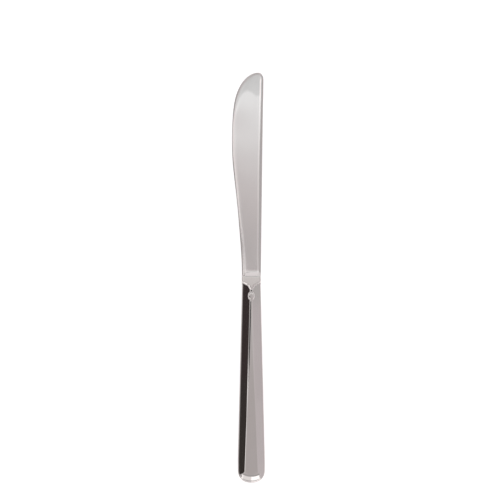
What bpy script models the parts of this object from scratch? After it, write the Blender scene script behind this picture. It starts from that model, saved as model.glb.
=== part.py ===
import math

import bmesh
import bpy
from mathutils import Vector

MM = 0.001

# Dessert knife lying on its back: +Y runs from the butt to the tip, +X is the spine side, +Z is up.
# The knife's own datum is the handle's axis at the joint between blade and handle,
# half way through its thickness.

# Sizes that blade and handle share
THICKNESS = 6.4 * MM  # over the butt, the beads and the neck
NECK_WIDTH = 9.5 * MM
NECK_CORNER = 1.0 * MM  # round along the neck's four edges
NECK_CREST = 3.0 * MM  # from the joint; the knife lies on these crests and on its butt
NECK_FALL = 0.2 * MM  # how much lower the neck is at the joint than at its crest
SEAT_GAP = 0.1 * MM  # between pieces that seat on one another

# Blade
BLADE_LENGTH = 101.6 * MM
BELLY_FROM_JOINT = 67.5 * MM  # where the blade is widest
BELLY_DEPTH = 9.7 * MM  # handle axis to cutting edge at the belly
SPINE_RISE = 1.25 * MM  # how far the straight spine leans out towards the tip
TIP_OFFSET = 3.2 * MM  # handle axis to the middle of the tip
TIP_FLAT = 1.3 * MM
TIP_FULL = 3.0  # how long the curve from belly to tip stays full
TIP_POINT = 1.75  # how blunt that curve ends: 2 is round
TIP_CORNER = 3.8 * MM  # length of the round from spine to tip
SPINE_THICKNESS = 2.4 * MM
TIP_THICKNESS = 1.3 * MM
EDGE_THICKNESS = 0.5 * MM
GROUND_START = 0.3  # how far the face has thickened from edge to spine where the edge bevel ends
EDGE_BEVEL = 0.6 * MM
EDGE_BEVEL_SHARE = 0.2  # most of the blade's width that it takes, near the tip
SPINE_BEVEL = 2.0 * MM  # width of the bevel along the spine, at the joint
TIP_SPINE_BEVEL = 1.45 * MM
SPINE_BEVEL_SHARE = 0.3  # most of the blade's width that it takes, near the tip
SPINE_BEVEL_ANGLE = math.radians(12)
BOLSTER_RAMP = 1.75 * MM  # length of the ramp from blade to neck
RAMP_LEAD = 1.75 * MM  # length of the faint hollow rise in front of it
RAMP_LEAD_RISE = 0.2 * MM

# Tang
TANG_LENGTH = 46.0 * MM
TANG_WIDTH = 5.6 * MM
TANG_END_WIDTH = 3.6 * MM
TANG_THICKNESS = 2.4 * MM
TANG_CORNER = 0.5 * MM
KEY_HOLE = 2.2 * MM  # the resin runs through this hole and locks the tang
KEY_FROM_JOINT = 36.0 * MM

# Handle
HANDLE_LENGTH = 103.4 * MM
WALL = 0.7 * MM
NECK_STEP = 0.15 * MM  # how far the neck stands out past the shaft at each side
BUTT_WIDTH = 13.6 * MM
BUTT_PARALLEL = 5.7 * MM  # parallel part ahead of the round end
BUTT_ROUND = 6.7 * MM  # length of the round end
BUTT_POWER = 2.3  # how full the round end is
BUTT_BEVEL = 5.0 * MM  # end bevel along the axis
END_CURVE = 1.6  # how domed the end bevel is: 1 is flat
FLAT_AT_NECK = 0.6 * MM  # width of the long flat
FLAT_AT_BUTT = 6.6 * MM
FLAT_END_BOW = 0.5 * MM
NECK_DROP = 0.3 * MM  # how much lower the long flat lies at the neck than at the butt
BEVEL_ANGLE = math.radians(24)
MITRE_TURN = math.radians(25)  # where side bevel and end bevel meet on the round end
EDGE_ACROSS = 2.6 * MM  # oval round between bevel and side: half its width and half its height
EDGE_UP = 1.04 * MM
RIM_MIN = 0.2 * MM  # upright side left over at the seam

# Neck ornament
CUSP_FROM_JOINT = 7.1 * MM  # where the neck ends in a point
SCALLOP_RADIUS = 4.55 * MM
SCALLOP_INSET = 0.1 * MM  # scallop centre, in from the neck's side
SCALLOP_FROM_JOINT = 7.6 * MM
SCALLOP_EDGE = 0.6 * MM  # width of the slope along the scallop's edge
SCALLOP_EDGE_ANGLE = math.radians(37)
SCALLOP_DRAFT = math.radians(11)
BEAD_WIDTH = 3.8 * MM
BEAD_LENGTH = 5.3 * MM
BEAD_DOME = 0.5 * MM
BEAD_CLEAR = 0.1 * MM  # between the cusp's point and the bead

# Braze and filling
SEAM = 0.3 * MM  # between the two shells
BRAZE_GAP = 0.05 * MM
RESIN_COVER = 4.0 * MM  # resin beyond the end of the tang

BUTT_STEPS = 18  # quarter of the round end
FILLET_STEPS = 4
BEVEL_STEPS = 3
DOME_STEPS = 8
RAMP_STEPS = 4
BELLY_STEPS = 12
TIP_STEPS = 20
TURN_STEPS = 44
BEYOND = 2.0 * MM  # how far cutting forms run past what they cut

HALF = THICKNESS / 2
NECK_HALF = NECK_WIDTH / 2
BEAD_FROM_JOINT = CUSP_FROM_JOINT + BEAD_CLEAR + BEAD_LENGTH / 2
RESIN_END = TANG_LENGTH + RESIN_COVER


def lerp(a, b, t):
    return a + (b - a) * t


def clear_scene():
    for obj in list(bpy.data.objects):
        bpy.data.objects.remove(obj, do_unlink=True)


def new_collection(name):
    collection = bpy.data.collections.new(name)
    bpy.context.scene.collection.children.link(collection)
    return collection


def steel(name, colour, metallic, roughness):
    material = bpy.data.materials.new(name)
    material.use_nodes = True
    shader = material.node_tree.nodes["Principled BSDF"]
    shader.inputs["Base Color"].default_value = (*colour, 1)
    shader.inputs["Metallic"].default_value = metallic
    shader.inputs["Roughness"].default_value = roughness
    return material


def place(name, mesh, collection, material=None):
    obj = bpy.data.objects.new(name, mesh)
    obj.parent = knife
    collection.objects.link(obj)
    if material:
        mesh.materials.append(material)
    else:
        obj.hide_render = True
        obj.display_type = "WIRE"
    return obj


def combine(obj, operation, tool):
    modifier = obj.modifiers.new(operation.title() + " " + tool.name, "BOOLEAN")
    modifier.operation = operation
    modifier.solver = "EXACT"
    modifier.object = tool


def loft(name, rings):
    bm = bmesh.new()
    loops = [[bm.verts.new(point) for point in ring] for ring in rings]
    for lower, upper in zip(loops, loops[1:]):
        for i in range(len(lower)):
            j = (i + 1) % len(lower)
            bm.faces.new((lower[i], lower[j], upper[j], upper[i]))
    bm.faces.new(loops[0])
    bm.faces.new(loops[-1])
    bmesh.ops.recalc_face_normals(bm, faces=bm.faces[:])
    mesh = bpy.data.meshes.new(name)
    bm.to_mesh(mesh)
    bm.free()
    return mesh


def block(name, low, high):
    bm = bmesh.new()
    bmesh.ops.create_cube(bm, size=1)
    low, high = Vector(low), Vector(high)
    for vert in bm.verts:
        vert.co = (low + high) / 2 + vert.co * (high - low)
    mesh = bpy.data.meshes.new(name)
    bm.to_mesh(mesh)
    bm.free()
    return mesh


def turned(name, profile, x, y):
    # Profile of (radius, height), from the top down, turned about the upright line through (x, y)
    mesh = bpy.data.meshes.new(name)
    edges = [(i, i + 1) for i in range(len(profile) - 1)]
    mesh.from_pydata([(r, 0, z) for r, z in profile], edges, [])
    obj = place(name, mesh, forms)
    obj.location = (x, y, 0)
    obj.rotation_euler.z = math.radians(180) / TURN_STEPS
    screw = obj.modifiers.new("Turn", "SCREW")
    screw.axis = "Z"
    screw.steps = TURN_STEPS
    screw.render_steps = TURN_STEPS
    screw.use_merge_vertices = True
    screw.merge_threshold = 0.00001
    return obj


def both_sides(upper):
    # Section through the knife: the upper half, then the same points below in return
    return upper + [(x, -z) for x, z in reversed(upper)]


def round_bar(half_width, half_height, corner):
    # Upper half of a bar with round edges, from -X to +X
    low = corner * (1 - math.cos(math.radians(45)))
    side = [(half_width, half_height - corner), (half_width - low, half_height - low)]
    side.append((half_width - corner, half_height))
    return [(-x, z) for x, z in side] + [(0, half_height)] + side[::-1]


def along(section, y):
    return [(x, y, z) for x, z in section]


def neck_height(y):
    # Half the neck's height, which falls from its crest to the joint
    return HALF - NECK_FALL * max(0, 1 + y / NECK_CREST)


# Blade, bolster ramp and tang

def edge_line(y):
    if y < BELLY_FROM_JOINT:
        t = y / BELLY_FROM_JOINT
        return -lerp(NECK_HALF, BELLY_DEPTH, t * t * (3 - 2 * t))
    t = min(1, (y - BELLY_FROM_JOINT) / (BLADE_LENGTH - BELLY_FROM_JOINT))
    start = TIP_OFFSET - TIP_FLAT / 2
    return lerp(start, -BELLY_DEPTH, (1 - t**TIP_FULL) ** (1 / TIP_POINT))


def spine_line(y):
    straight = NECK_HALF + SPINE_RISE * y / BLADE_LENGTH
    t = min(1, max(0, (y - BLADE_LENGTH + TIP_CORNER) / TIP_CORNER))
    return lerp(TIP_OFFSET + TIP_FLAT / 2, straight, math.sqrt(1 - t * t))


def ramp_share(y):
    # How much of the rise from blade to neck is done at y
    lead = RAMP_LEAD_RISE / (neck_height(0) - SPINE_THICKNESS / 2)
    hollow = max(0, 1 - y / (BOLSTER_RAMP + RAMP_LEAD)) ** 2
    return lead * hollow + (1 - lead) * max(0, 1 - y / BOLSTER_RAMP)


def blade_section(y):
    edge = edge_line(y)
    spine = spine_line(y)
    width = spine - edge
    bevel = min(EDGE_BEVEL, width * EDGE_BEVEL_SHARE)
    back = min(lerp(SPINE_BEVEL, TIP_SPINE_BEVEL, y / BLADE_LENGTH), width * SPINE_BEVEL_SHARE)
    half = lerp(SPINE_THICKNESS, TIP_THICKNESS, y / BLADE_LENGTH) / 2
    thin = min(EDGE_THICKNESS / 2, half * 0.8)
    face = width - bevel - back

    def ground(t):
        return edge + bevel + face * t, lerp(lerp(thin, half, GROUND_START), half, 1 - (1 - t) ** 2)

    side = half - back * math.tan(SPINE_BEVEL_ANGLE)
    upper = [(edge, thin), ground(0), ground(0.2), ground(0.55), ground(1)]
    upper += [(spine - back / 2, (side + half) / 2), (spine, side)]
    ramp = ramp_share(y)
    neck = round_bar(NECK_HALF, neck_height(0), NECK_CORNER)
    return both_sides([(lerp(a, c, ramp), lerp(b, d, ramp)) for (a, b), (c, d) in zip(upper, neck)])


def blade_stations():
    stations = [BOLSTER_RAMP * i / RAMP_STEPS for i in range(RAMP_STEPS)]
    lead_start = BOLSTER_RAMP + RAMP_LEAD
    stations += [lerp(BOLSTER_RAMP, lead_start, i / RAMP_STEPS) for i in range(RAMP_STEPS)]
    stations += [lerp(lead_start, BELLY_FROM_JOINT, i / BELLY_STEPS) for i in range(BELLY_STEPS)]
    for i in range(TIP_STEPS + 1):
        turn = math.sin(math.radians(90) * i / TIP_STEPS)
        stations.append(lerp(BELLY_FROM_JOINT, BLADE_LENGTH, turn))
    return stations


def tang_form(name, grow):
    near = round_bar(TANG_WIDTH / 2 + grow, TANG_THICKNESS / 2 + grow, TANG_CORNER + grow)
    far = round_bar(TANG_END_WIDTH / 2 + grow, TANG_THICKNESS / 2 + grow, TANG_CORNER + grow)
    rings = [along(both_sides(near), BEYOND), along(both_sides(far), -TANG_LENGTH - grow)]
    tang = place(name, loft(name, rings), forms)
    radius = KEY_HOLE / 2 - grow
    hole = [(0, THICKNESS), (radius, THICKNESS), (radius, -THICKNESS), (0, -THICKNESS)]
    combine(tang, "DIFFERENCE", turned(name + " key hole", hole, 0, -KEY_FROM_JOINT))
    return tang


# Handle

def side_line(y):
    widest = HANDLE_LENGTH - BUTT_ROUND - BUTT_PARALLEL
    return lerp(NECK_HALF - NECK_STEP, BUTT_WIDTH / 2, min(1, -y / widest))


def flat_line(y):
    return lerp(FLAT_AT_NECK, FLAT_AT_BUTT, -y / (HANDLE_LENGTH - BUTT_BEVEL)) / 2


def flat_height(y):
    return HALF - NECK_DROP * (1 + y / (HANDLE_LENGTH - BUTT_BEVEL))


def shaft_stations(inset):
    # Plan points on the outline and on the edge of the long flat, from the neck to the middle of the butt,
    # each pair with the curve of the bevel between them
    draw_in = inset * math.tan(BEVEL_ANGLE / 2)
    start = (SCALLOP_RADIUS - SCALLOP_FROM_JOINT + inset) / 2
    round_start = BUTT_ROUND - HANDLE_LENGTH
    corner = BUTT_BEVEL + FLAT_END_BOW - HANDLE_LENGTH + draw_in

    def outline(turn):
        across = (BUTT_WIDTH / 2 - inset) * max(0, math.cos(turn)) ** (2 / BUTT_POWER)
        return Vector((-across, round_start - (BUTT_ROUND - inset) * math.sin(turn) ** (2 / BUTT_POWER)))

    def flat_edge(y):
        return Vector((draw_in - flat_line(y), y))

    pairs = []
    for y in (start, round_start + BUTT_PARALLEL):
        pairs.append((Vector((inset - side_line(y), y)), flat_edge(y), 1))
    for i in range(BUTT_STEPS + 1):
        turn = math.radians(90) * i / BUTT_STEPS
        rim = outline(turn)
        if turn < MITRE_TURN:
            pairs.append((rim, flat_edge(lerp(round_start, corner, turn / MITRE_TURN)), 1))
        else:
            part = rim.x / outline(MITRE_TURN).x
            edge = flat_edge(corner)
            bowed = Vector((edge.x * part, corner - FLAT_END_BOW * (1 - part * part)))
            pairs.append((rim, bowed, END_CURVE if part < 0.99 else 1))
    return pairs


def shaft_form(name, inset):
    across = max(EDGE_ACROSS - inset, RIM_MIN)
    up = max(EDGE_UP - inset, RIM_MIN)
    last_turn = math.atan(up / across / math.tan(BEVEL_ANGLE))
    reach = across * (1 - math.cos(last_turn))
    rise = up * math.sin(last_turn)
    columns = []
    for rim, flat, curve in shaft_stations(inset):
        inward = (flat - rim).normalized()
        top = flat_height(flat.y) - inset
        bevel_low = top - ((flat - rim).length - reach) * math.tan(BEVEL_ANGLE)
        wall_top = max(bevel_low - rise, RIM_MIN)
        column = []
        for i in range(FILLET_STEPS + 1):
            turn = last_turn * i / FILLET_STEPS
            point = rim + inward * across * (1 - math.cos(turn))
            column.append((point.x, point.y, wall_top + up * math.sin(turn)))
        for i in range(1, BEVEL_STEPS + 1):
            t = i / BEVEL_STEPS
            point = (rim + inward * reach).lerp(flat, t)
            column.append((point.x, point.y, lerp(top, wall_top + rise, (1 - t) ** curve)))
        columns.append([(x, y, -z) for x, y, z in reversed(column)] + column)
    columns += [[(-x, y, z) for x, y, z in column] for column in reversed(columns[:-1])]
    return place(name, loft(name, zip(*columns)), forms)


def neck_form(name, inset):
    rings = []
    for y in (BEYOND, -NECK_CREST, inset - CUSP_FROM_JOINT):
        section = round_bar(NECK_HALF - inset, neck_height(y) - inset, max(NECK_CORNER - inset, RIM_MIN))
        rings.append(along(both_sides(section), y))
    neck = place(name, loft(name, rings), forms)
    # Each scallop is cut by a spool with a steep wall and a gentler slope along its upper edge
    edge = SCALLOP_RADIUS + inset
    wall_top = HALF - inset - SCALLOP_EDGE * math.tan(SCALLOP_EDGE_ANGLE)
    waist = edge - SCALLOP_EDGE - wall_top * math.tan(SCALLOP_DRAFT)
    rim = edge + (THICKNESS - HALF + inset) / math.tan(SCALLOP_EDGE_ANGLE)
    spool = [(0, THICKNESS), (rim, THICKNESS), (edge - SCALLOP_EDGE, wall_top), (waist, 0)]
    spool += [(r, -z) for r, z in reversed(spool[:-1])]
    for side, word in ((-1, "left"), (1, "right")):
        x = side * (NECK_HALF - SCALLOP_INSET)
        combine(neck, "DIFFERENCE", turned(f"{name} {word} scallop", spool, x, -SCALLOP_FROM_JOINT))
    # The scallops meet along the middle, where each leaves its own points
    weld = neck.modifiers.new("Weld", "WELD")
    weld.merge_threshold = 0.000001
    return neck


def bead_form(name, inset):
    radius = BEAD_WIDTH / 2 - inset
    dome = []
    for i in range(DOME_STEPS + 1):
        turn = math.radians(90) * i / DOME_STEPS
        dome.append((radius * math.sin(turn), HALF - inset - BEAD_DOME * (1 - math.cos(turn))))
    profile = dome + [(r, -z) for r, z in reversed(dome)]
    bead = turned(name, profile, 0, -BEAD_FROM_JOINT)
    bead.rotation_euler.z = 0
    bead.scale.y = (BEAD_LENGTH / 2 - inset) / radius
    return bead


def handle_form(name, inset):
    form = shaft_form(name, inset)
    combine(form, "UNION", neck_form(name + " neck", inset))
    combine(form, "UNION", bead_form(name + " bead", inset))
    return form


def handle_piece(name, y_low, y_high, z_low, z_high, material):
    wide = BUTT_WIDTH
    return place(name, block(name, (-wide, y_low, z_low), (wide, y_high, z_high)), parts, material)


clear_scene()
parts = new_collection("dessert knife")
forms = new_collection("forms")

knife = bpy.data.objects.new("knife datum", None)
parts.objects.link(knife)
x_low = -BELLY_DEPTH
x_high = max(BUTT_WIDTH / 2, NECK_HALF + SPINE_RISE * (1 - TIP_CORNER / BLADE_LENGTH))
knife.location = (-(x_low + x_high) / 2, (HANDLE_LENGTH - BLADE_LENGTH) / 2, HALF)

satin = steel("satin stainless steel", (0.60, 0.575, 0.57), 1, 0.28)
polished_front = steel("polished steel, front", (0.66, 0.63, 0.62), 1, 0.08)
polished_back = steel("polished steel, back", (0.65, 0.62, 0.61), 1, 0.08)
silver_braze = steel("silver braze", (0.55, 0.52, 0.49), 1, 0.3)
resin = steel("resin cement", (0.46, 0.43, 0.38), 0, 0.6)
sand = steel("sand", (0.58, 0.49, 0.36), 0, 0.9)

blade = place("blade", loft("blade", [along(blade_section(y), y) for y in blade_stations()]), parts, satin)
combine(blade, "UNION", tang_form("tang", 0))

handle = handle_form("handle outside", 0)
cavity = handle_form("handle cavity", WALL)
filling = handle_form("handle filling", WALL + SEAT_GAP)
butt = -HANDLE_LENGTH - BEYOND

front_shell = handle_piece("front_handle_shell", butt, -SEAT_GAP, SEAM / 2, THICKNESS, polished_front)
back_shell = handle_piece("back_handle_shell", butt, -SEAT_GAP, -THICKNESS, -SEAM / 2, polished_back)
braze = handle_piece("seam_braze", butt, -SEAT_GAP, BRAZE_GAP - SEAM / 2, SEAM / 2 - BRAZE_GAP, silver_braze)
for shell in (front_shell, back_shell, braze):
    combine(shell, "INTERSECT", handle)
    combine(shell, "DIFFERENCE", cavity)

tang_resin = handle_piece("tang_resin", -RESIN_END, -SEAT_GAP, -THICKNESS, THICKNESS, resin)
combine(tang_resin, "INTERSECT", filling)
combine(tang_resin, "DIFFERENCE", tang_form("tang socket", SEAT_GAP))

ballast = handle_piece("sand_ballast", butt, -RESIN_END - SEAT_GAP, -THICKNESS, THICKNESS, sand)
combine(ballast, "INTERSECT", filling)
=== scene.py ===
import math

import bpy
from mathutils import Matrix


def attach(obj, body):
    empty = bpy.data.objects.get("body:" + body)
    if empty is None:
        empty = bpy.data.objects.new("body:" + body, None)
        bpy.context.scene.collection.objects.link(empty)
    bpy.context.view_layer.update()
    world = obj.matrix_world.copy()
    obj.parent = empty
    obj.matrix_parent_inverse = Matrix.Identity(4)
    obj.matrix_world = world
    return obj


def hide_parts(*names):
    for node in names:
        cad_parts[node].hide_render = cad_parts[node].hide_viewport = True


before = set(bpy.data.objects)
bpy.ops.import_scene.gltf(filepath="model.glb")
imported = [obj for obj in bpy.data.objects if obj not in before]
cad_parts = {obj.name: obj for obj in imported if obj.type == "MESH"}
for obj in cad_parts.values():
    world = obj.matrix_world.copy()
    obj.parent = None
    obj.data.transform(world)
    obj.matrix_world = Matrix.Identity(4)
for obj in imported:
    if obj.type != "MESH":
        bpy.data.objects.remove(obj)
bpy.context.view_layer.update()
scene = bpy.context.scene
scene.view_settings.view_transform = "Standard"

mm = 0.001
datum = (1.45 * mm, 0.9 * mm, 3.2 * mm)  # handle axis, joint line and mid thickness cross here
mergeGap = 0.001 * mm  # points closer than this become one
mirrorGap = 0.002 * mm  # the same across a mirror's plane
formAngle = 50  # edges sharper than this, in degrees, stay crisp


# small sums used all over

def lerp(a, b, t):
    return a + (b - a) * t


def clamp(t):
    return max(0.0, min(1.0, t))


def ease(t):
    t = clamp(t)
    return t * t * (3 - 2 * t)


def blendMax(a, b, soft):
    part = clamp(0.5 + 0.5 * (a - b) / soft)
    return lerp(b, a, part) + soft * part * (1 - part)


def blendMin(a, b, soft):
    return -blendMax(-a, -b, soft)


# small moves used on every piece

def deselectAll():
    if bpy.context.mode != "OBJECT":
        bpy.ops.object.mode_set(mode="OBJECT")
    bpy.ops.object.select_all(action="DESELECT")


def pick(*objs):
    deselectAll()
    for obj in objs:
        obj.select_set(True)
    bpy.context.view_layer.objects.active = objs[0]


def applyModifier(obj, kind, **settings):
    pick(obj)
    modifier = obj.modifiers.new(kind.title(), kind)
    for key, value in settings.items():
        setattr(modifier, key, value)
    bpy.ops.object.modifier_apply(modifier=modifier.name)


def shapedGrid(name, rows, columns, place):
    # a flat grid whose points are then moved onto the surface, in mm from the datum
    deselectAll()
    bpy.ops.mesh.primitive_grid_add(x_subdivisions=columns, y_subdivisions=rows, size=1)
    obj = bpy.context.object
    obj.name = obj.data.name = name
    for vert in obj.data.vertices:
        row = round((vert.co.y + 0.5) * rows)
        column = round((vert.co.x + 0.5) * columns)
        vert.co = [v * mm for v in place(row, column)]
    return obj


def closeUp(obj, angle):
    # merge doubles, point faces outwards, smooth all but the sharp edges
    pick(obj)
    bpy.ops.object.mode_set(mode="EDIT")
    bpy.ops.mesh.select_all(action="SELECT")
    bpy.ops.mesh.remove_doubles(threshold=mergeGap)
    bpy.ops.mesh.dissolve_degenerate(threshold=mergeGap / 2)
    bpy.ops.mesh.select_all(action="SELECT")
    bpy.ops.mesh.normals_make_consistent(inside=False)
    bpy.ops.object.mode_set(mode="OBJECT")
    bpy.ops.object.shade_smooth_by_angle(angle=math.radians(angle))


def toDatum(obj):
    pick(obj)
    obj.location = datum
    bpy.ops.object.transform_apply(location=True, rotation=True, scale=True)


def seat(obj, node):
    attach(obj, "root")
    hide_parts(node)


# blade: satin ground face, round tip, bolster ramp, tang

# in mm, from the joint line and the handle's axis
bladeSizes = {
    "length": 101.6,
    "neckHalf": 4.75,
    "bellyFromJoint": 67.5,
    "bellyDepth": 9.7,
    # the cutting edge draws in a little: how much, from the joint, half length
    "bellyHollows": [(0.37, 39.0, 22.0), (0.18, 81.0, 11.0)],
    "spineRise": 1.25,
    "spineSwell": (0.1, 84.0, 8.0),  # the spine swells near the tip: how much, from the joint, length
    "tipOffset": 3.35,
    "tipFlat": 0.7,
    "tipFull": 3.3,  # how long the belly's curve stays full
    "tipPoint": 1.75,  # how blunt it ends: 2 is round
    "tipCorner": 3.8,
    "spineHalf": 1.2,
    "tipHalf": 0.65,
    "edgeHalf": 0.25,
    "tipEdgeHalf": 0.12,
    "edgeThinning": (70.0, 17.0),  # where the edge gets as thin as at the tip: from the joint, length
    "edgeLimit": 0.8,  # largest share of the thickness that it keeps
    "edgeRoll": (0.3, 0.16),  # share of the thickness, length
    "tipRoll": (0.8, 0.42),
    "faceRoll": (0.4, 1.4),
    "tipFaceLoss": 0.6,  # share of it that is gone at the tip
    # uneven grinding: change of the edge's share and length and of the face's share, from the joint, reach
    "rollSwells": [
        (0.16, 0.16, 0.0, 55.0, 9.0),
        (0.12, 0.36, 0.0, 91.0, 7.0),
        (0.0, 0.0, -0.12, 32.0, 11.0),
    ],
    "leastWidth": 0.1,  # keeps a division away from zero at the tip
    "spineBevel": 2.0,
    "tipSpineBevel": 1.45,
    "bevelTaper": (50.0, 46.0),  # where it narrows: from the joint, length
    "bevelLimit": 0.62,  # largest share of the thickness that it takes
    "heelSpineBevel": (0.35, 10.0),  # narrower at the heel: by how much, over what length
    "spineSlope": math.tan(math.radians(12)),
    "spineSoft": 0.16,
    # crest of the tip facet's arched border, from the joint and from the axis, and its curve
    "tipFacet": (92.2, -2.2, 0.155),
    "tipFacetLow": 89.5,
    "tipFacetSlope": math.tan(math.radians(1.4)),
    "tipFacetSoft": 1.2,
    "heel": (14.0, 0.0008),  # it thickens a little towards the heel: from the joint, curve
    "rampFoot": 3.5,  # a faint rise leads in to the steep ramp
    "rampFootCurve": 0.0285,
    "ramp": 1.75,
    "rampSlope": 0.74,
    "rampSide": (1.45, 0.15),  # it stops short of the cutting edge: from the edge, width of the step
    "collar": (0.1, 0.4),  # full height again right at the joint
    "sharpAngle": 28,  # edges sharper than this, in degrees, show as edges on the finished blade
    "tangLength": 46.0,
    "tangRoot": 2.0,  # how far it starts inside the bolster
    "tangWidth": 5.6,
    "tangEndWidth": 3.6,
    "tangThickness": 2.4,
    "tangCorner": 0.5,
    "tangCornerSteps": 4,
    "keyHole": 2.2,
    "keyFromJoint": 36.0,
    "drillDepth": 6.0,
    "drillSides": 48,
}


def edgeLine(y):
    s = bladeSizes
    hollow = 0
    for drawIn, middle, reach in s["bellyHollows"]:
        hollow += drawIn * max(0, 1 - ((y - middle) / reach) ** 2) ** 2
    if y < s["bellyFromJoint"]:
        return hollow - lerp(s["neckHalf"], s["bellyDepth"], ease(y / s["bellyFromJoint"]))
    t = clamp((y - s["bellyFromJoint"]) / (s["length"] - s["bellyFromJoint"]))
    start = s["tipOffset"] - s["tipFlat"] / 2
    return hollow + lerp(start, -s["bellyDepth"], (1 - t ** s["tipFull"]) ** (1 / s["tipPoint"]))


def spineLine(y):
    s = bladeSizes
    swell, start, reach = s["spineSwell"]
    straight = s["neckHalf"] + s["spineRise"] * y / s["length"] + swell * ease((y - start) / reach)
    t = clamp((y - s["length"] + s["tipCorner"]) / s["tipCorner"])
    return lerp(s["tipOffset"] + s["tipFlat"] / 2, straight, math.sqrt(1 - t * t))


def leanOf(line, y):
    # how slantwise an outline runs: 1 along the knife, large across it
    step = 0.02
    low = max(0, y - step)
    high = min(bladeSizes["length"], y + step)
    return math.hypot(1, (line(high) - line(low)) / (high - low))


heelLength = 4.0  # the rows are closest up to here
heelRows, bellyRows, tipRows, bladeColumns = 80, 60, 110, 96


def bladeStations():
    belly, tip = bladeSizes["bellyFromJoint"], bladeSizes["length"]
    stations = [heelLength * i / heelRows for i in range(heelRows)]
    stations += [lerp(heelLength, belly, i / bellyRows) for i in range(bellyRows)]
    for i in range(tipRows + 1):
        stations.append(lerp(belly, tip, math.sin(math.radians(90 * i / tipRows))))
    return stations


bladeRows = bladeStations()
bladeLines = [(edgeLine(y), spineLine(y), leanOf(edgeLine, y), leanOf(spineLine, y)) for y in bladeRows]


def bladePoint(row, column):
    s = bladeSizes
    y = bladeRows[row]
    edge, spine, edgeLean, spineLean = bladeLines[row]
    x = lerp(edge, spine, 0.5 - 0.5 * math.cos(math.pi * column / bladeColumns))
    fromEdge = (x - edge) / edgeLean
    fromSpine = (spine - x) / spineLean
    half = lerp(s["spineHalf"], s["tipHalf"], y / s["length"])
    crest, middle, curve = s["tipFacet"]
    border = max(crest - curve * (x - middle) ** 2, s["tipFacetLow"])
    half -= s["tipFacetSlope"] * blendMax(y - border, 0, s["tipFacetSoft"])

    # rolled cutting edge and a face that thickens towards the spine
    start, length = s["edgeThinning"]
    nearTip = ease((y - start) / length)
    thin = min(lerp(s["edgeHalf"], s["tipEdgeHalf"], nearTip), half * s["edgeLimit"])
    edgeShare, edgeLength = [lerp(a, b, nearTip) for a, b in zip(s["edgeRoll"], s["tipRoll"])]
    faceShare, faceLength = s["faceRoll"]
    faceShare *= 1 - s["tipFaceLoss"] * nearTip
    wedgeShare = 1 - edgeShare - faceShare
    for moreEdge, moreLength, moreFace, at, reach in s["rollSwells"]:
        near = math.exp(-((y - at) / reach) ** 2)
        edgeShare += moreEdge * near
        edgeLength += moreLength * near
        faceShare += moreFace * near
    across = clamp(fromEdge / max(spine - edge, s["leastWidth"]))
    low = edgeShare * math.exp(-fromEdge / edgeLength) + faceShare * math.exp(-fromEdge / faceLength)
    low += wedgeShare * (1 - across)
    z = half - (half - thin) * low

    # bevel along the spine
    start, length = s["bevelTaper"]
    bevel = lerp(s["spineBevel"], s["tipSpineBevel"], ease((y - start) / length))
    narrower, narrowing = s["heelSpineBevel"]
    bevel -= narrower * max(0, 1 - y / narrowing)
    bevel = min(bevel, s["bevelLimit"] * half / s["spineSlope"])
    z = blendMin(z, half + s["spineSlope"] * (fromSpine - bevel), s["spineSoft"])
    z = max(z, s["tipEdgeHalf"])

    # thicker heel and bolster ramp
    heelStart, heelCurve = s["heel"]
    z += heelCurve * max(0, heelStart - y) ** 2 / 2
    foot = max(0, s["rampFoot"] - y)
    rise = s["rampFootCurve"] * foot * foot / 2 + s["rampSlope"] * max(0, s["ramp"] - y)
    sideStart, sideWidth = s["rampSide"]
    collarStart, collarWidth = s["collar"]
    collar = 1 - ease((y - collarStart) / collarWidth)
    return x, y, z + rise * lerp(ease((fromEdge - sideStart) / sideWidth), 1, collar)


def makeTang():
    # a bar, narrowed at its far end, edges broken, drilled for the resin
    s = bladeSizes
    deselectAll()
    root = s["tangRoot"] * mm
    length = s["tangLength"] * mm + root
    size = (s["tangWidth"] * mm, length, s["tangThickness"] * mm)
    bpy.ops.mesh.primitive_cube_add(size=1, location=(0, root - length / 2, 0), scale=size)
    tang = bpy.context.object
    bpy.ops.object.transform_apply(location=True, rotation=False, scale=True)
    bpy.ops.object.mode_set(mode="EDIT")
    bpy.ops.mesh.select_all(action="DESELECT")
    bpy.ops.object.mode_set(mode="OBJECT")
    for vert in tang.data.vertices:
        vert.select = vert.co.y < 0
    bpy.ops.object.mode_set(mode="EDIT")
    bpy.ops.mesh.select_mode(type="VERT")
    narrowed = (s["tangEndWidth"] / s["tangWidth"], 1, 1)
    bpy.ops.transform.resize(value=narrowed, center_override=(0, 0, 0))
    bpy.ops.mesh.select_all(action="SELECT")
    bpy.ops.mesh.bevel(offset=s["tangCorner"] * mm, segments=s["tangCornerSteps"], affect="EDGES")
    bpy.ops.object.mode_set(mode="OBJECT")
    deselectAll()
    radius = s["keyHole"] * mm / 2
    depth = s["drillDepth"] * mm
    keyPlace = (0, -s["keyFromJoint"] * mm, 0)
    sides = s["drillSides"]
    bpy.ops.mesh.primitive_cylinder_add(vertices=sides, radius=radius, depth=depth, location=keyPlace)
    drill = bpy.context.object
    applyModifier(tang, "BOOLEAN", operation="DIFFERENCE", solver="EXACT", object=drill)
    bpy.data.objects.remove(drill, do_unlink=True)
    return tang


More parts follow.
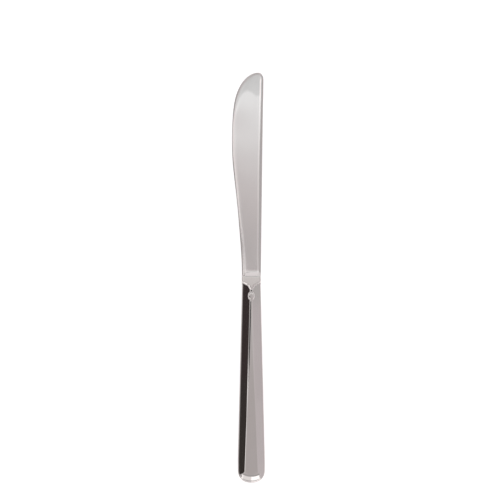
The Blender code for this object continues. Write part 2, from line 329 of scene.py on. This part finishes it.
def makeBlade():
    blade = shapedGrid("knife_blade", len(bladeRows) - 1, bladeColumns, bladePoint)
    # the open border goes straight down to the middle plane, then the lower half is mirrored
    pick(blade)
    bpy.ops.object.mode_set(mode="EDIT")
    bpy.ops.mesh.select_all(action="DESELECT")
    bpy.ops.mesh.select_mode(type="EDGE")
    bpy.ops.mesh.select_non_manifold()
    bpy.ops.mesh.extrude_edges_move()
    bpy.ops.transform.resize(value=(1, 1, 0), center_override=(0, 0, 0))
    bpy.ops.object.mode_set(mode="OBJECT")
    applyModifier(blade, "MIRROR", use_axis=(False, False, True), merge_threshold=mirrorGap)
    closeUp(blade, formAngle)

    tang = makeTang()
    applyModifier(blade, "BOOLEAN", operation="UNION", solver="EXACT", object=tang)
    bpy.data.objects.remove(tang, do_unlink=True)
    closeUp(blade, bladeSizes["sharpAngle"])
    toDatum(blade)
    seat(blade, "blade")
    return blade


# handle shells: long flat, bevels, scalloped neck, bead

shellSizes = {
    "half": 3.2,
    "seamHalf": 0.15,
    "mouth": -0.1,
    "wall": 0.7,
    "length": 103.4,
    "neckHalf": bladeSizes["neckHalf"],
    "neckStep": 0.15,
    "stepAt": (3.9, 0.7),  # from the joint, length
    "neckCorner": 0.75,
    "buttHalf": 6.8,
    "widestFromJoint": 91.0,
    "buttRound": 6.7,
    "buttPower": 2.3,
    "buttBevel": 5.0,
    "flatNeck": 0.19,
    "flatButt": 3.29,
    "flatWaist": 0.14,  # its sides bend in a little halfway
    "flatBow": 0.5,
    "ridgeSoft": (0.28, 0.07),  # how round the flat's edges are, at the neck and at the butt
    "ridgeCrisp": (40.0, 38.0),  # where that changes: from the joint, length
    "edgeZone": 1.1,  # columns crowd this far beside such an edge, as a multiple of its roundness
    "edgeZoneLimit": (0.5, 0.8),  # and over no more than these shares of the bevel and of the flat
    "leastInner": 0.000001,  # keeps a division away from zero
    "neckDrop": 0.3,
    "bevelAngle": math.radians(24),
    "mitreTurn": math.radians(25),
    "edgeRound": (2.6, 1.04),  # quarter ellipse between bevel and side: half axes across and up
    "rimMin": 0.2,
    "ornamentEnd": 14.0,
    "noOrnament": -9,  # a height far below the shell
    "cusp": 7.0,
    "neckFall": 0.314,  # how much lower the neck is at the joint than at its point
    "shoulder": (4.3, math.radians(29)),  # upper side of the scallop: how far down, slant
    "shoulderEdge": (0.75, 0.75),  # chamfer along it: width, slope
    "point": (0.5, 0.5),  # inner side of the scallop: half width of the neck's point, how it widens
    "pointEdge": (0.75, 0.3),
    "endEdge": (0.3, 0.75),
    "scallopDraft": math.radians(11),
    "scallopSoft": 0.08,
    "scallopCorner": 0.15,  # rounds the corner inside the scallop
    "bead": (1.5, 2.4),  # half width, half length
    "beadCentre": 10.0,
    "beadDome": 0.5,
    "beadPower": 6,  # how flat its top is: 2 is round
    "beadWall": 12,  # how steeply it falls beside
    "pit": (7.25, 0.3, 0.4),  # prick between point and bead: from the joint, radius, depth
    "neckSoft": 0.12,
    "mouthSoft": 0.1,  # broken edge at the joint: length
    "mouthFall": 0.08,  # and depth
    "endCurve": 1.6,  # 1 is a flat end bevel
}

neckRows, shaftRows, buttRows = 140, 30, 44
filletColumns, bevelColumns, edgeColumns, flatColumns = 9, 30, 12, 8
shellRows = neckRows + shaftRows + buttRows
shellColumns = filletColumns + 1 + bevelColumns + edgeColumns + flatColumns


def sideLine(y):
    s = shellSizes
    line = lerp(s["neckHalf"] - s["neckStep"], s["buttHalf"], min(1, -y / s["widestFromJoint"]))
    start, length = s["stepAt"]
    return line + s["neckStep"] * (1 - ease((-y - start) / length))


def flatLine(y):
    s = shellSizes
    t = -y / (s["length"] - s["buttBevel"])
    return lerp(s["flatNeck"], s["flatButt"], t) - s["flatWaist"] * 4 * t * (1 - t)


def flatHeight(y):
    s = shellSizes
    return s["half"] - s["neckDrop"] * (1 + y / (s["length"] - s["buttBevel"]))


def ridgeSoft(y):
    # the long flat starts as a round ridge at the neck and gets crisp edges towards the butt
    atNeck, atButt = shellSizes["ridgeSoft"]
    start, length = shellSizes["ridgeCrisp"]
    return lerp(atNeck, atButt, ease((-y - start) / length))


def shellStation(row, inset):
    # plan points on the outline, on the flat's edge and on the axis
    s = shellSizes
    drawIn = inset * math.tan(s["bevelAngle"] / 2)
    neckEnd = -s["ornamentEnd"]
    roundStart = s["buttRound"] - s["length"]
    corner = s["buttBevel"] + s["flatBow"] - s["length"] + drawIn

    def straight(y):
        return (inset - sideLine(y), y), (drawIn - flatLine(y), y), (0, y)

    if row <= neckRows:
        return straight(lerp(s["mouth"], neckEnd, row / neckRows))
    if row <= neckRows + shaftRows:
        return straight(lerp(neckEnd, roundStart, (row - neckRows) / shaftRows))

    def outline(turn):
        x = (s["buttHalf"] - inset) * max(0, math.cos(turn)) ** (2 / s["buttPower"])
        return -x, roundStart - (s["buttRound"] - inset) * math.sin(turn) ** (2 / s["buttPower"])

    turn = math.radians(90) * (row - neckRows - shaftRows) / buttRows
    rim = outline(turn)
    if turn < s["mitreTurn"]:
        y = lerp(roundStart, corner, turn / s["mitreTurn"])
        return rim, (drawIn - flatLine(y), y), (0, y)
    if row == shellRows:
        rim = (0, rim[1])
    part = rim[0] / outline(s["mitreTurn"])[0]
    x = drawIn - flatLine(corner)
    flat = (x * part, corner - s["flatBow"] * (1 - part * part))
    return rim, flat, (0, corner)


def ornamentHeight(x, y, inset):
    # scalloped neck block and bead
    s = shellSizes
    top = s["half"] - inset - (0 if inset else s["neckFall"] * clamp(1 + y / s["cusp"]))
    steep = 1 / math.tan(s["scallopDraft"])

    def cutAway(outside, edge):
        # a chamfer, then a steep wall
        width, slope = edge
        return blendMax(slope * outside, slope * width + steep * (outside - width), s["scallopSoft"])

    down, slant = s["shoulder"]
    below = abs(x) * math.sin(slant) - y * math.cos(slant) - down + inset
    pointHalf, widens = s["point"]
    lean = math.hypot(1, widens)
    beside = (abs(x) - pointHalf - widens * (y + s["cusp"])) / lean + s["pointEdge"][0] + inset
    wall = blendMin(cutAway(below, s["shoulderEdge"]), cutAway(beside, s["pointEdge"]), s["scallopCorner"])
    wall = blendMax(wall, cutAway(inset - s["cusp"] - y, s["endEdge"]), s["scallopSoft"])
    wall = blendMax(0, wall, s["scallopSoft"])
    corner = max(0, abs(x) - s["neckHalf"] + s["neckCorner"])
    radius = max(s["neckCorner"] - inset, s["rimMin"])
    fall = radius - math.sqrt(max(0, radius * radius - min(corner, radius) ** 2))
    neck = top - fall - wall
    beadAcross, beadAlong = [size - inset for size in s["bead"]]
    reach = math.hypot(x / beadAcross, (y + s["beadCentre"]) / beadAlong)
    bead = s["half"] - inset - s["beadDome"] * min(reach, 1) ** s["beadPower"]
    bead -= s["beadWall"] * max(0, reach - 1)
    return max(neck, bead, s["noOrnament"])


def shellPoint(row, column, inset):
    s = shellSizes
    rim, flat, axis = shellStation(row, inset)
    # section from the rim inwards: side wall, edge round, bevel, flat
    across, up = [max(size - inset, s["rimMin"]) for size in s["edgeRound"]]
    slope = math.tan(s["bevelAngle"])
    lastTurn = math.atan(up / across / slope)
    reach = across * (1 - math.cos(lastTurn))
    rise = up * math.sin(lastTurn)
    depth = math.dist(rim, flat)
    top = flatHeight(flat[1]) - inset
    bevelLow = top - (depth - reach) * slope
    wallTop = max(bevelLow - rise, s["rimMin"])
    slope = (top - wallTop - rise) / (depth - reach)

    if column == 0:
        return rim[0], rim[1], s["seamHalf"]
    column -= 1
    curve = s["endCurve"] if row > neckRows + shaftRows and flat[1] < axis[1] else 1
    soft = ridgeSoft(flat[1])
    beyond = 0
    if column <= filletColumns:
        turn = lastTurn * column / filletColumns
        q = across * (1 - math.cos(turn))
        z = wallTop + up * math.sin(turn)
    else:
        column -= filletColumns
        inner = math.dist(flat, axis)
        zone = s["edgeZone"] * soft / slope
        bevelShare, flatShare = s["edgeZoneLimit"]
        near = min(zone, (depth - reach) * bevelShare)
        far = min(zone, inner * flatShare)
        if column <= bevelColumns:
            q = lerp(reach, depth - near, column / bevelColumns)
        elif column <= bevelColumns + edgeColumns:
            q = lerp(depth - near, depth + far, (column - bevelColumns) / edgeColumns)
        else:
            q = lerp(depth + far, depth + inner, (column - bevelColumns - edgeColumns) / flatColumns)
        beyond = max(0, q - depth)
        left = (depth - q) / (depth - reach)
        z = top - (top - wallTop - rise) * (left if left < 0 else left ** curve)
    q = min(q, depth)
    x = rim[0] + (flat[0] - rim[0]) * q / depth
    y = rim[1] + (flat[1] - rim[1]) * q / depth
    if beyond:
        inner = max(math.dist(flat, axis), s["leastInner"])
        x += (axis[0] - flat[0]) * min(1, beyond / inner)
        y += (axis[1] - flat[1]) * min(1, beyond / inner)
    z = blendMin(z, flatHeight(y) - inset, soft)
    # neck and bead stand on the shaft
    if y > -s["ornamentEnd"]:
        z = blendMax(z, ornamentHeight(x, y, inset), s["neckSoft"])
        if not inset:
            z -= s["mouthFall"] * math.exp((y - s["mouth"]) / s["mouthSoft"])
            pitAt, pitRadius, pitDepth = s["pit"]
            z -= pitDepth * math.exp(-(x * x + (y + pitAt) ** 2) / pitRadius ** 2)
    return min(x, 0), y, min(z, s["half"] - inset)


def makeFrontShell():
    def outside(row, column):
        return shellPoint(row, column, 0)

    def inside(row, column):
        return shellPoint(row, column, shellSizes["wall"])

    outer = shapedGrid("front_shell", shellRows, shellColumns, outside)
    inner = shapedGrid("front_shell_inside", shellRows, shellColumns, inside)
    pick(outer, inner)
    bpy.ops.object.join()
    # left half to right half, then the rims of the two skins are bridged into a wall
    applyModifier(outer, "MIRROR", use_axis=(True, False, False), merge_threshold=mirrorGap)
    pick(outer)
    bpy.ops.object.mode_set(mode="EDIT")
    bpy.ops.mesh.select_all(action="SELECT")
    bpy.ops.mesh.remove_doubles(threshold=mergeGap)
    bpy.ops.mesh.select_all(action="DESELECT")
    bpy.ops.mesh.select_mode(type="EDGE")
    bpy.ops.mesh.select_non_manifold(
        extend=False, use_wire=False, use_boundary=True,
        use_multi_face=False, use_non_contiguous=False, use_verts=False,
    )
    bpy.ops.mesh.bridge_edge_loops()
    bpy.ops.object.mode_set(mode="OBJECT")
    closeUp(outer, formAngle)
    return outer


def makeBackShell(front):
    pick(front)
    bpy.ops.object.duplicate()
    back = bpy.context.object
    back.name = back.data.name = "back_shell"
    bpy.ops.object.mode_set(mode="EDIT")
    bpy.ops.mesh.select_all(action="SELECT")
    bpy.ops.transform.resize(value=(1, 1, -1), center_override=(0, 0, 0))
    bpy.ops.object.mode_set(mode="OBJECT")
    closeUp(back, formAngle)
    return back


blade = makeBlade()
print("blade made:", len(blade.data.polygons), "faces")
frontShell = makeFrontShell()
backShell = makeBackShell(frontShell)
shells = [
    (frontShell, "front_handle_shell", "polished_steel_front"),
    (backShell, "back_handle_shell", "polished_steel_back"),
]
for shell, node, slot in shells:
    toDatum(shell)
    seat(shell, node)
print("shells made:", len(frontShell.data.polygons), "faces each")


# finishes

# lines is how far the roughness varies; the height given last is where the painted shade in the prick is
# centred, above the middle plane
steelFinish = {
    "blade": {"colour": (0.69, 0.642, 0.640), "roughness": 0.10, "lines": 0.4},
    "front": {"colour": (0.69, 0.642, 0.632), "roughness": 0.06, "lines": 0.15, "pitShadeHeight": 2.7},
    "back": {"colour": (0.68, 0.632, 0.622), "roughness": 0.07, "lines": 0.2, "pitShadeHeight": -2.7},
}

polishLook = {
    "lineScale": (9000, 120, 9000),  # polishing lines run along the knife
    "lineDetail": 4,
    "lineBump": 0.02,
    "lineDepth": 0.00002,  # metres
    "cloudScale": 90,  # broad, faint unevenness of the polish
    "cloudDetail": 3,
    "cloudTints": (0.97, 1.03),
    "pitShadeReach": (0.3, 0.5),  # painted shade in the prick, mm from its middle: darkest up to the first, none from the second
    "pitShadeLevel": 0.15,
}

# depth of the grain in metres
grainFinish = {
    "seam_braze": {
        "name": "silver braze",
        "dark": (0.56, 0.53, 0.50),
        "light": (0.66, 0.63, 0.60),
        "scale": 3000,
        "roughness": 0.25,
        "metallic": 1,
        "depth": 0.00001,
    },
    "tang_resin": {
        "name": "resin cement",
        "dark": (0.38, 0.35, 0.30),
        "light": (0.52, 0.48, 0.42),
        "scale": 900,
        "roughness": 0.6,
        "metallic": 0,
        "depth": 0.00008,
    },
    "sand_ballast": {
        "name": "ballast sand",
        "dark": (0.42, 0.34, 0.23),
        "light": (0.72, 0.63, 0.48),
        "scale": 2600,
        "roughness": 0.9,
        "metallic": 0,
        "depth": 0.0002,
    },
}

grainLook = {"detail": 5, "smoother": 0.8, "rougher": 1.2, "bump": 0.4}


def newMaterial(name):
    material = bpy.data.materials.new(name)
    material.use_nodes = True
    nodes = material.node_tree.nodes
    return material, nodes, material.node_tree.links, nodes["Principled BSDF"]


def addNoise(nodes, links, vector, scale, detail):
    noise = nodes.new("ShaderNodeTexNoise")
    noise.inputs["Scale"].default_value = scale
    noise.inputs["Detail"].default_value = detail
    links.new(vector, noise.inputs["Vector"])
    return noise.outputs["Fac"]


def addTint(nodes, links, source, dark, light):
    tint = nodes.new("ShaderNodeMix")
    tint.data_type = "RGBA"
    tint.inputs["A"].default_value = (*dark, 1)
    tint.inputs["B"].default_value = (*light, 1)
    links.new(source, tint.inputs["Factor"])
    return tint.outputs["Result"]


def addRange(nodes, links, source, low, high):
    # 0 to 1 becomes low to high
    level = nodes.new("ShaderNodeMapRange")
    level.inputs["To Min"].default_value = low
    level.inputs["To Max"].default_value = high
    links.new(source, level.inputs["Value"])
    return level.outputs["Result"]


def addBump(nodes, links, source, strength, depth):
    bump = nodes.new("ShaderNodeBump")
    bump.inputs["Strength"].default_value = strength
    bump.inputs["Distance"].default_value = depth
    links.new(source, bump.inputs["Height"])
    return bump.outputs["Normal"]


def addPitShade(nodes, links, place, tint, height):
    # painted shade: the colour is darkened in the prick between point and bead, where shade would fall
    pitAt = shellSizes["pit"][0]
    dark, unshadedFrom = polishLook["pitShadeReach"]
    away = nodes.new("ShaderNodeVectorMath")
    away.operation = "DISTANCE"
    away.inputs[1].default_value = (datum[0], datum[1] - pitAt * mm, datum[2] + height * mm)
    links.new(place, away.inputs[0])
    level = nodes.new("ShaderNodeMapRange")
    level.inputs["From Min"].default_value = dark * mm
    level.inputs["From Max"].default_value = unshadedFrom * mm
    level.inputs["To Min"].default_value = polishLook["pitShadeLevel"]
    links.new(away.outputs["Value"], level.inputs["Value"])
    darken = nodes.new("ShaderNodeVectorMath")
    darken.operation = "SCALE"
    links.new(tint, darken.inputs[0])
    links.new(level.outputs["Result"], darken.inputs["Scale"])
    return darken.outputs["Vector"]


def steelMaterial(name, colour, roughness, lines, pitShadeHeight=None):
    look = polishLook
    material, nodes, links, shader = newMaterial(name)
    shader.inputs["Metallic"].default_value = 1
    place = nodes.new("ShaderNodeTexCoord").outputs["Object"]
    stretch = nodes.new("ShaderNodeMapping")
    stretch.inputs["Scale"].default_value = look["lineScale"]
    links.new(place, stretch.inputs["Vector"])
    polish = addNoise(nodes, links, stretch.outputs["Vector"], 1, look["lineDetail"])
    cloud = addNoise(nodes, links, place, look["cloudScale"], look["cloudDetail"])
    darker, lighter = look["cloudTints"]
    dark = [c * darker for c in colour]
    light = [c * lighter for c in colour]
    tint = addTint(nodes, links, cloud, dark, light)
    # painted shade darkens the colour in the neck's prick
    if pitShadeHeight:
        tint = addPitShade(nodes, links, place, tint, pitShadeHeight)
    rough = addRange(nodes, links, polish, roughness * (1 - lines), roughness * (1 + lines))
    bump = addBump(nodes, links, polish, look["lineBump"] * lines, look["lineDepth"])
    links.new(tint, shader.inputs["Base Color"])
    links.new(rough, shader.inputs["Roughness"])
    links.new(bump, shader.inputs["Normal"])
    return material


def grainMaterial(name, dark, light, scale, roughness, metallic, depth):
    # braze, resin and sand: two tones of fine grain
    look = grainLook
    material, nodes, links, shader = newMaterial(name)
    shader.inputs["Metallic"].default_value = metallic
    place = nodes.new("ShaderNodeTexCoord").outputs["Object"]
    grain = addNoise(nodes, links, place, scale, look["detail"])
    tone = addTint(nodes, links, grain, dark, light)
    rough = addRange(nodes, links, grain, roughness * look["smoother"], min(1, roughness * look["rougher"]))
    bump = addBump(nodes, links, grain, look["bump"], depth)
    links.new(tone, shader.inputs["Base Color"])
    links.new(rough, shader.inputs["Roughness"])
    links.new(bump, shader.inputs["Normal"])
    return material


def dress(obj, material):
    obj.data.materials.clear()
    obj.data.materials.append(material)


def dressNode(node, material):
    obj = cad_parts[node]
    for slot in obj.material_slots:
        slot.material = material


dress(blade, steelMaterial("satin blade steel", **steelFinish["blade"]))
dress(frontShell, steelMaterial("polished front shell steel", **steelFinish["front"]))
dress(backShell, steelMaterial("polished back shell steel", **steelFinish["back"]))
for node, finish in grainFinish.items():
    dressNode(node, grainMaterial(**finish))
print("finishes set")


# studio: white floor, white surround, overhead card, dark and grey side cards

studio = {
    "floorSize": 8.0,
    "floorColour": (0.8, 0.8, 0.8),
    "floorGlow": 0.6,
    "ambient": 0.55,
    "cardHeight": 1.7,
    "cardHalf": 1.7,
    "coldTint": 1.06,  # green and blue of a cold card, beside its red
    "warmLoss": (0.10, 0.11),  # what warmth takes from them
    "rampShare": 0.5,  # the overhead card's ramps hold half levels, so that none passes 1
    # overhead card along the knife, from the butt's end to the tip's: place, level, warmth
    "overhead": [
        (-1.7, 0.6, 0.9), (-0.15, 0.555, 0.9), (-0.10, 0.59, 0.7), (0.024, 0.65, 0.7), (0.072, 0.675, 0.8),
        (0.105, 0.765, 0.8), (0.153, 0.85, 0.5), (0.186, 1.0, 0.2), (0.234, 1.14, 0), (0.285, 1.16, 0),
        (0.325, 0.80, 0), (0.45, 0.80, 0), (0.6, 0.62, 0.6), (1.7, 0.62, 0.6),
    ],
    # and across it: place, level
    "overheadSides": [(-1.7, 1.15), (-0.3, 1.15), (-0.12, 1.0), (0.1, 1.0), (0.25, 1.2), (1.7, 1.2)],
    # other cards: name, level, two opposite corners
    "cards": [
        ("left_flag", (0.050, 0.039, 0.039), ((-0.8, -0.09, 0.62), (-0.8, 0.04, 1.08))),
        ("left_low_flag", (0.048, 0.043, 0.040), ((-0.8, -0.42, 0.62), (-0.8, -0.09, 1.08))),
        ("left_blade_card", 0.58, ((-0.8, 0.04, 0.62), (-0.8, 0.9, 1.08))),
        ("left_low_card", 0.5, ((-0.8, -1.3, 0.0), (-0.8, 1.5, 0.62))),
        ("left_high_card", 1.06, ((-1.7, -0.02, 1.69), (-0.3, 0.31, 1.69))),
        ("right_low_card", (0.69, 0.665, 0.675), ((0.8, -1.3, 0.0), (0.8, -0.17, 1.08))),
        ("right_mid_card", (0.665, 0.64, 0.65), ((0.8, -0.17, 0.0), (0.8, -0.11, 1.08))),
        ("right_card", (0.635, 0.61, 0.62), ((0.8, -0.11, 0.0), (0.8, -0.015, 1.08))),
        ("right_blade_card", 0.58, ((0.8, -0.015, 0.0), (0.8, 1.5, 1.08))),
        ("right_high_card", (0.66, 0.635, 0.645), ((0.6, -1.7, 1.69), (1.7, -0.015, 1.69))),
        ("right_high_blade_card", 0.58, ((0.6, -0.015, 1.69), (1.7, 1.7, 1.69))),
        ("front_corner_low_card", 0.5, ((-1.3, -1.3, 0.0), (-0.6, -1.3, 0.3))),
        ("front_left_low_card", 0.58, ((-0.6, -1.3, 0.0), (0.0, -1.3, 0.38))),
        ("front_right_low_card", 0.7, ((0.0, -1.3, 0.0), (1.3, -1.3, 0.38))),
        ("front_corner_softbox", 1.35, ((-1.3, -1.3, 0.3), (-0.6, -1.3, 0.97))),
        ("front_left_softbox", 1.03, ((-0.6, -1.3, 0.38), (0.0, -1.3, 0.97))),
        ("front_right_softbox", 1.6, ((0.0, -1.3, 0.38), (0.6, -1.3, 0.97))),
        ("front_right_card", 0.75, ((0.6, -1.3, 0.38), (1.3, -1.3, 0.97))),
        ("front_high_card", 0.5, ((-1.3, -1.3, 0.97), (1.3, -1.3, 1.68))),
        ("back_left_low_card", 0.82, ((-0.56, 1.5, 0.0), (-0.3, 1.5, 0.47))),
        ("back_corner_low_card", 0.6, ((-1.3, 1.5, 0.0), (-0.56, 1.5, 0.47))),
        ("back_right_low_card", 0.85, ((0.3, 1.5, 0.0), (1.3, 1.5, 0.47))),
        ("back_card", 0.62, ((-1.3, 1.5, 0.47), (1.3, 1.5, 1.6))),
        ("ridge_patch", 0.5, ((-1.3, -0.142, 1.68), (-0.7, -0.02, 1.68))),
        ("ridge_end_patch", 1.35, ((-0.95, -0.145, 1.67), (-0.5, -0.114, 1.67))),
        ("dark_patch", 0.04, ((-0.7, -0.142, 1.68), (-0.09, -0.02, 1.68))),
        ("crease_patch", 0.86, ((-1.3, -0.2, 1.68), (-0.15, -0.142, 1.68))),
        ("crease_end_patch", 1.3, ((-1.3, -0.295, 1.68), (-0.15, -0.2, 1.68))),
        ("bead_patch", 1.3, ((-1.25, -0.65, 1.68), (-0.35, -0.3, 1.68))),
        ("bright_patch", 1.45, ((0.2, 0.25, 1.68), (0.54, 0.36, 1.68))),
    ],
}


def seenRays(nodes, links):
    # 1 for what the camera, a mirror or glass sees, 0 for light that falls on things
    path = nodes.new("ShaderNodeLightPath")
    first = nodes.new("ShaderNodeMath")
    first.operation = "MAXIMUM"
    links.new(path.outputs["Is Camera Ray"], first.inputs[0])
    links.new(path.outputs["Is Glossy Ray"], first.inputs[1])
    both = nodes.new("ShaderNodeMath")
    both.operation = "MAXIMUM"
    links.new(first.outputs[0], both.inputs[0])
    links.new(path.outputs["Is Transmission Ray"], both.inputs[1])
    return both.outputs[0]


def makeWorld():
    world = bpy.data.worlds.new("white studio")
    world.use_nodes = True
    scene.world = world
    nodes, links = world.node_tree.nodes, world.node_tree.links
    back = nodes["Background"]
    back.inputs["Color"].default_value = (1, 1, 1, 1)
    level = addRange(nodes, links, seenRays(nodes, links), studio["ambient"], 1)
    links.new(level, back.inputs["Strength"])


def makeFloor():
    deselectAll()
    bpy.ops.mesh.primitive_plane_add(size=studio["floorSize"], location=(0, 0, 0))
    floor = bpy.context.object
    floor.name = "floor"
    material, nodes, links, shader = newMaterial("white floor")
    shader.inputs["Base Color"].default_value = (*studio["floorColour"], 1)
    shader.inputs["Roughness"].default_value = 1
    shader.inputs["Specular IOR Level"].default_value = 0
    shader.inputs["Emission Color"].default_value = (1, 1, 1, 1)
    level = addRange(nodes, links, seenRays(nodes, links), 0, studio["floorGlow"])
    links.new(level, shader.inputs["Emission Strength"])
    floor.data.materials.append(material)


def makeCard(name, corners, material):
    mesh = bpy.data.meshes.new(name)
    mesh.from_pydata(corners, [], [(0, 1, 2, 3)])
    card = bpy.data.objects.new(name, mesh)
    scene.collection.objects.link(card)
    card.visible_camera = False
    mesh.materials.append(material)


def colourOf(level, warm=0.6):
    # a level is one number, with its warmth beside it, or three parts
    if isinstance(level, tuple):
        return level
    greenLoss, blueLoss = studio["warmLoss"]
    green = studio["coldTint"] - greenLoss * warm
    blue = studio["coldTint"] - blueLoss * warm
    return level, level * green, level * blue


def glowMaterial(name, level):
    material, nodes, links, shader = newMaterial(name)
    nodes.remove(shader)
    glow = nodes.new("ShaderNodeEmission")
    glow.inputs["Color"].default_value = (*colourOf(level), 1)
    links.new(glow.outputs[0], nodes["Material Output"].inputs["Surface"])
    return material, nodes, links, glow


def levelAlong(nodes, links, source, stops):
    # brightness by place on the overhead card: stops are (metres, colour)
    low, high = -studio["cardHalf"], studio["cardHalf"]
    span = nodes.new("ShaderNodeMapRange")
    span.inputs["From Min"].default_value = low
    span.inputs["From Max"].default_value = high
    links.new(source, span.inputs["Value"])
    ramp = nodes.new("ShaderNodeValToRGB")
    elements = ramp.color_ramp.elements
    ready = len(elements)
    for i, (at, colour) in enumerate(stops):
        at = (at - low) / (high - low)
        stop = elements[i] if i < ready else elements.new(at)
        stop.position = at
        stop.color = (*[c * studio["rampShare"] for c in colour], 1)
    links.new(span.outputs["Result"], ramp.inputs["Fac"])
    return ramp.outputs["Color"]


def makeOverheadCard():
    material, nodes, links, glow = glowMaterial("overhead card", 1)
    place = nodes.new("ShaderNodeTexCoord")
    parts = nodes.new("ShaderNodeSeparateXYZ")
    links.new(place.outputs["Object"], parts.inputs["Vector"])
    alongStops = [(y, colourOf(level, warm)) for y, level, warm in studio["overhead"]]
    acrossStops = [(x, (level, level, level)) for x, level in studio["overheadSides"]]
    along = levelAlong(nodes, links, parts.outputs["Y"], alongStops)
    across = levelAlong(nodes, links, parts.outputs["X"], acrossStops)
    mix = nodes.new("ShaderNodeMix")
    mix.data_type = "RGBA"
    mix.blend_type = "MULTIPLY"
    mix.inputs["Factor"].default_value = 1
    links.new(along, mix.inputs["A"])
    links.new(across, mix.inputs["B"])
    links.new(mix.outputs["Result"], glow.inputs["Color"])
    # both ramps hold a share of their levels, and the lamp makes up for both
    glow.inputs["Strength"].default_value = 1 / studio["rampShare"] ** 2
    half, z = studio["cardHalf"], studio["cardHeight"]
    corners = [(-half, -half, z), (half, -half, z), (half, half, z), (-half, half, z)]
    makeCard("overhead_card", corners, material)


def makeSideCards():
    for name, level, corners in studio["cards"]:
        (x0, y0, z0), (x1, y1, z1) = corners
        if z0 == z1:
            shape = [(x0, y0, z0), (x1, y0, z0), (x1, y1, z0), (x0, y1, z0)]
        else:
            shape = [(x0, y0, z0), (x1, y1, z0), (x1, y1, z1), (x0, y0, z1)]
        makeCard(name, shape, glowMaterial(name, level)[0])


cameraView = {
    "over": (0.8, 13.85),  # the point it looks straight down on, in mm
    "distance": 1.0,
    "sensor": 36,
    "width": 0.25006,  # metres across the picture, at the knife's mid thickness
}


def makeCamera():
    data = bpy.data.cameras.new("camera")
    camera = bpy.data.objects.new("camera", data)
    scene.collection.objects.link(camera)
    x, y = cameraView["over"]
    distance = cameraView["distance"]
    camera.location = (x * mm, y * mm, datum[2] + distance)
    data.sensor_width = cameraView["sensor"]
    data.lens = cameraView["sensor"] * distance / cameraView["width"]
    scene.camera = camera


makeWorld()
makeFloor()
makeOverheadCard()
makeSideCards()
makeCamera()
print("studio set")
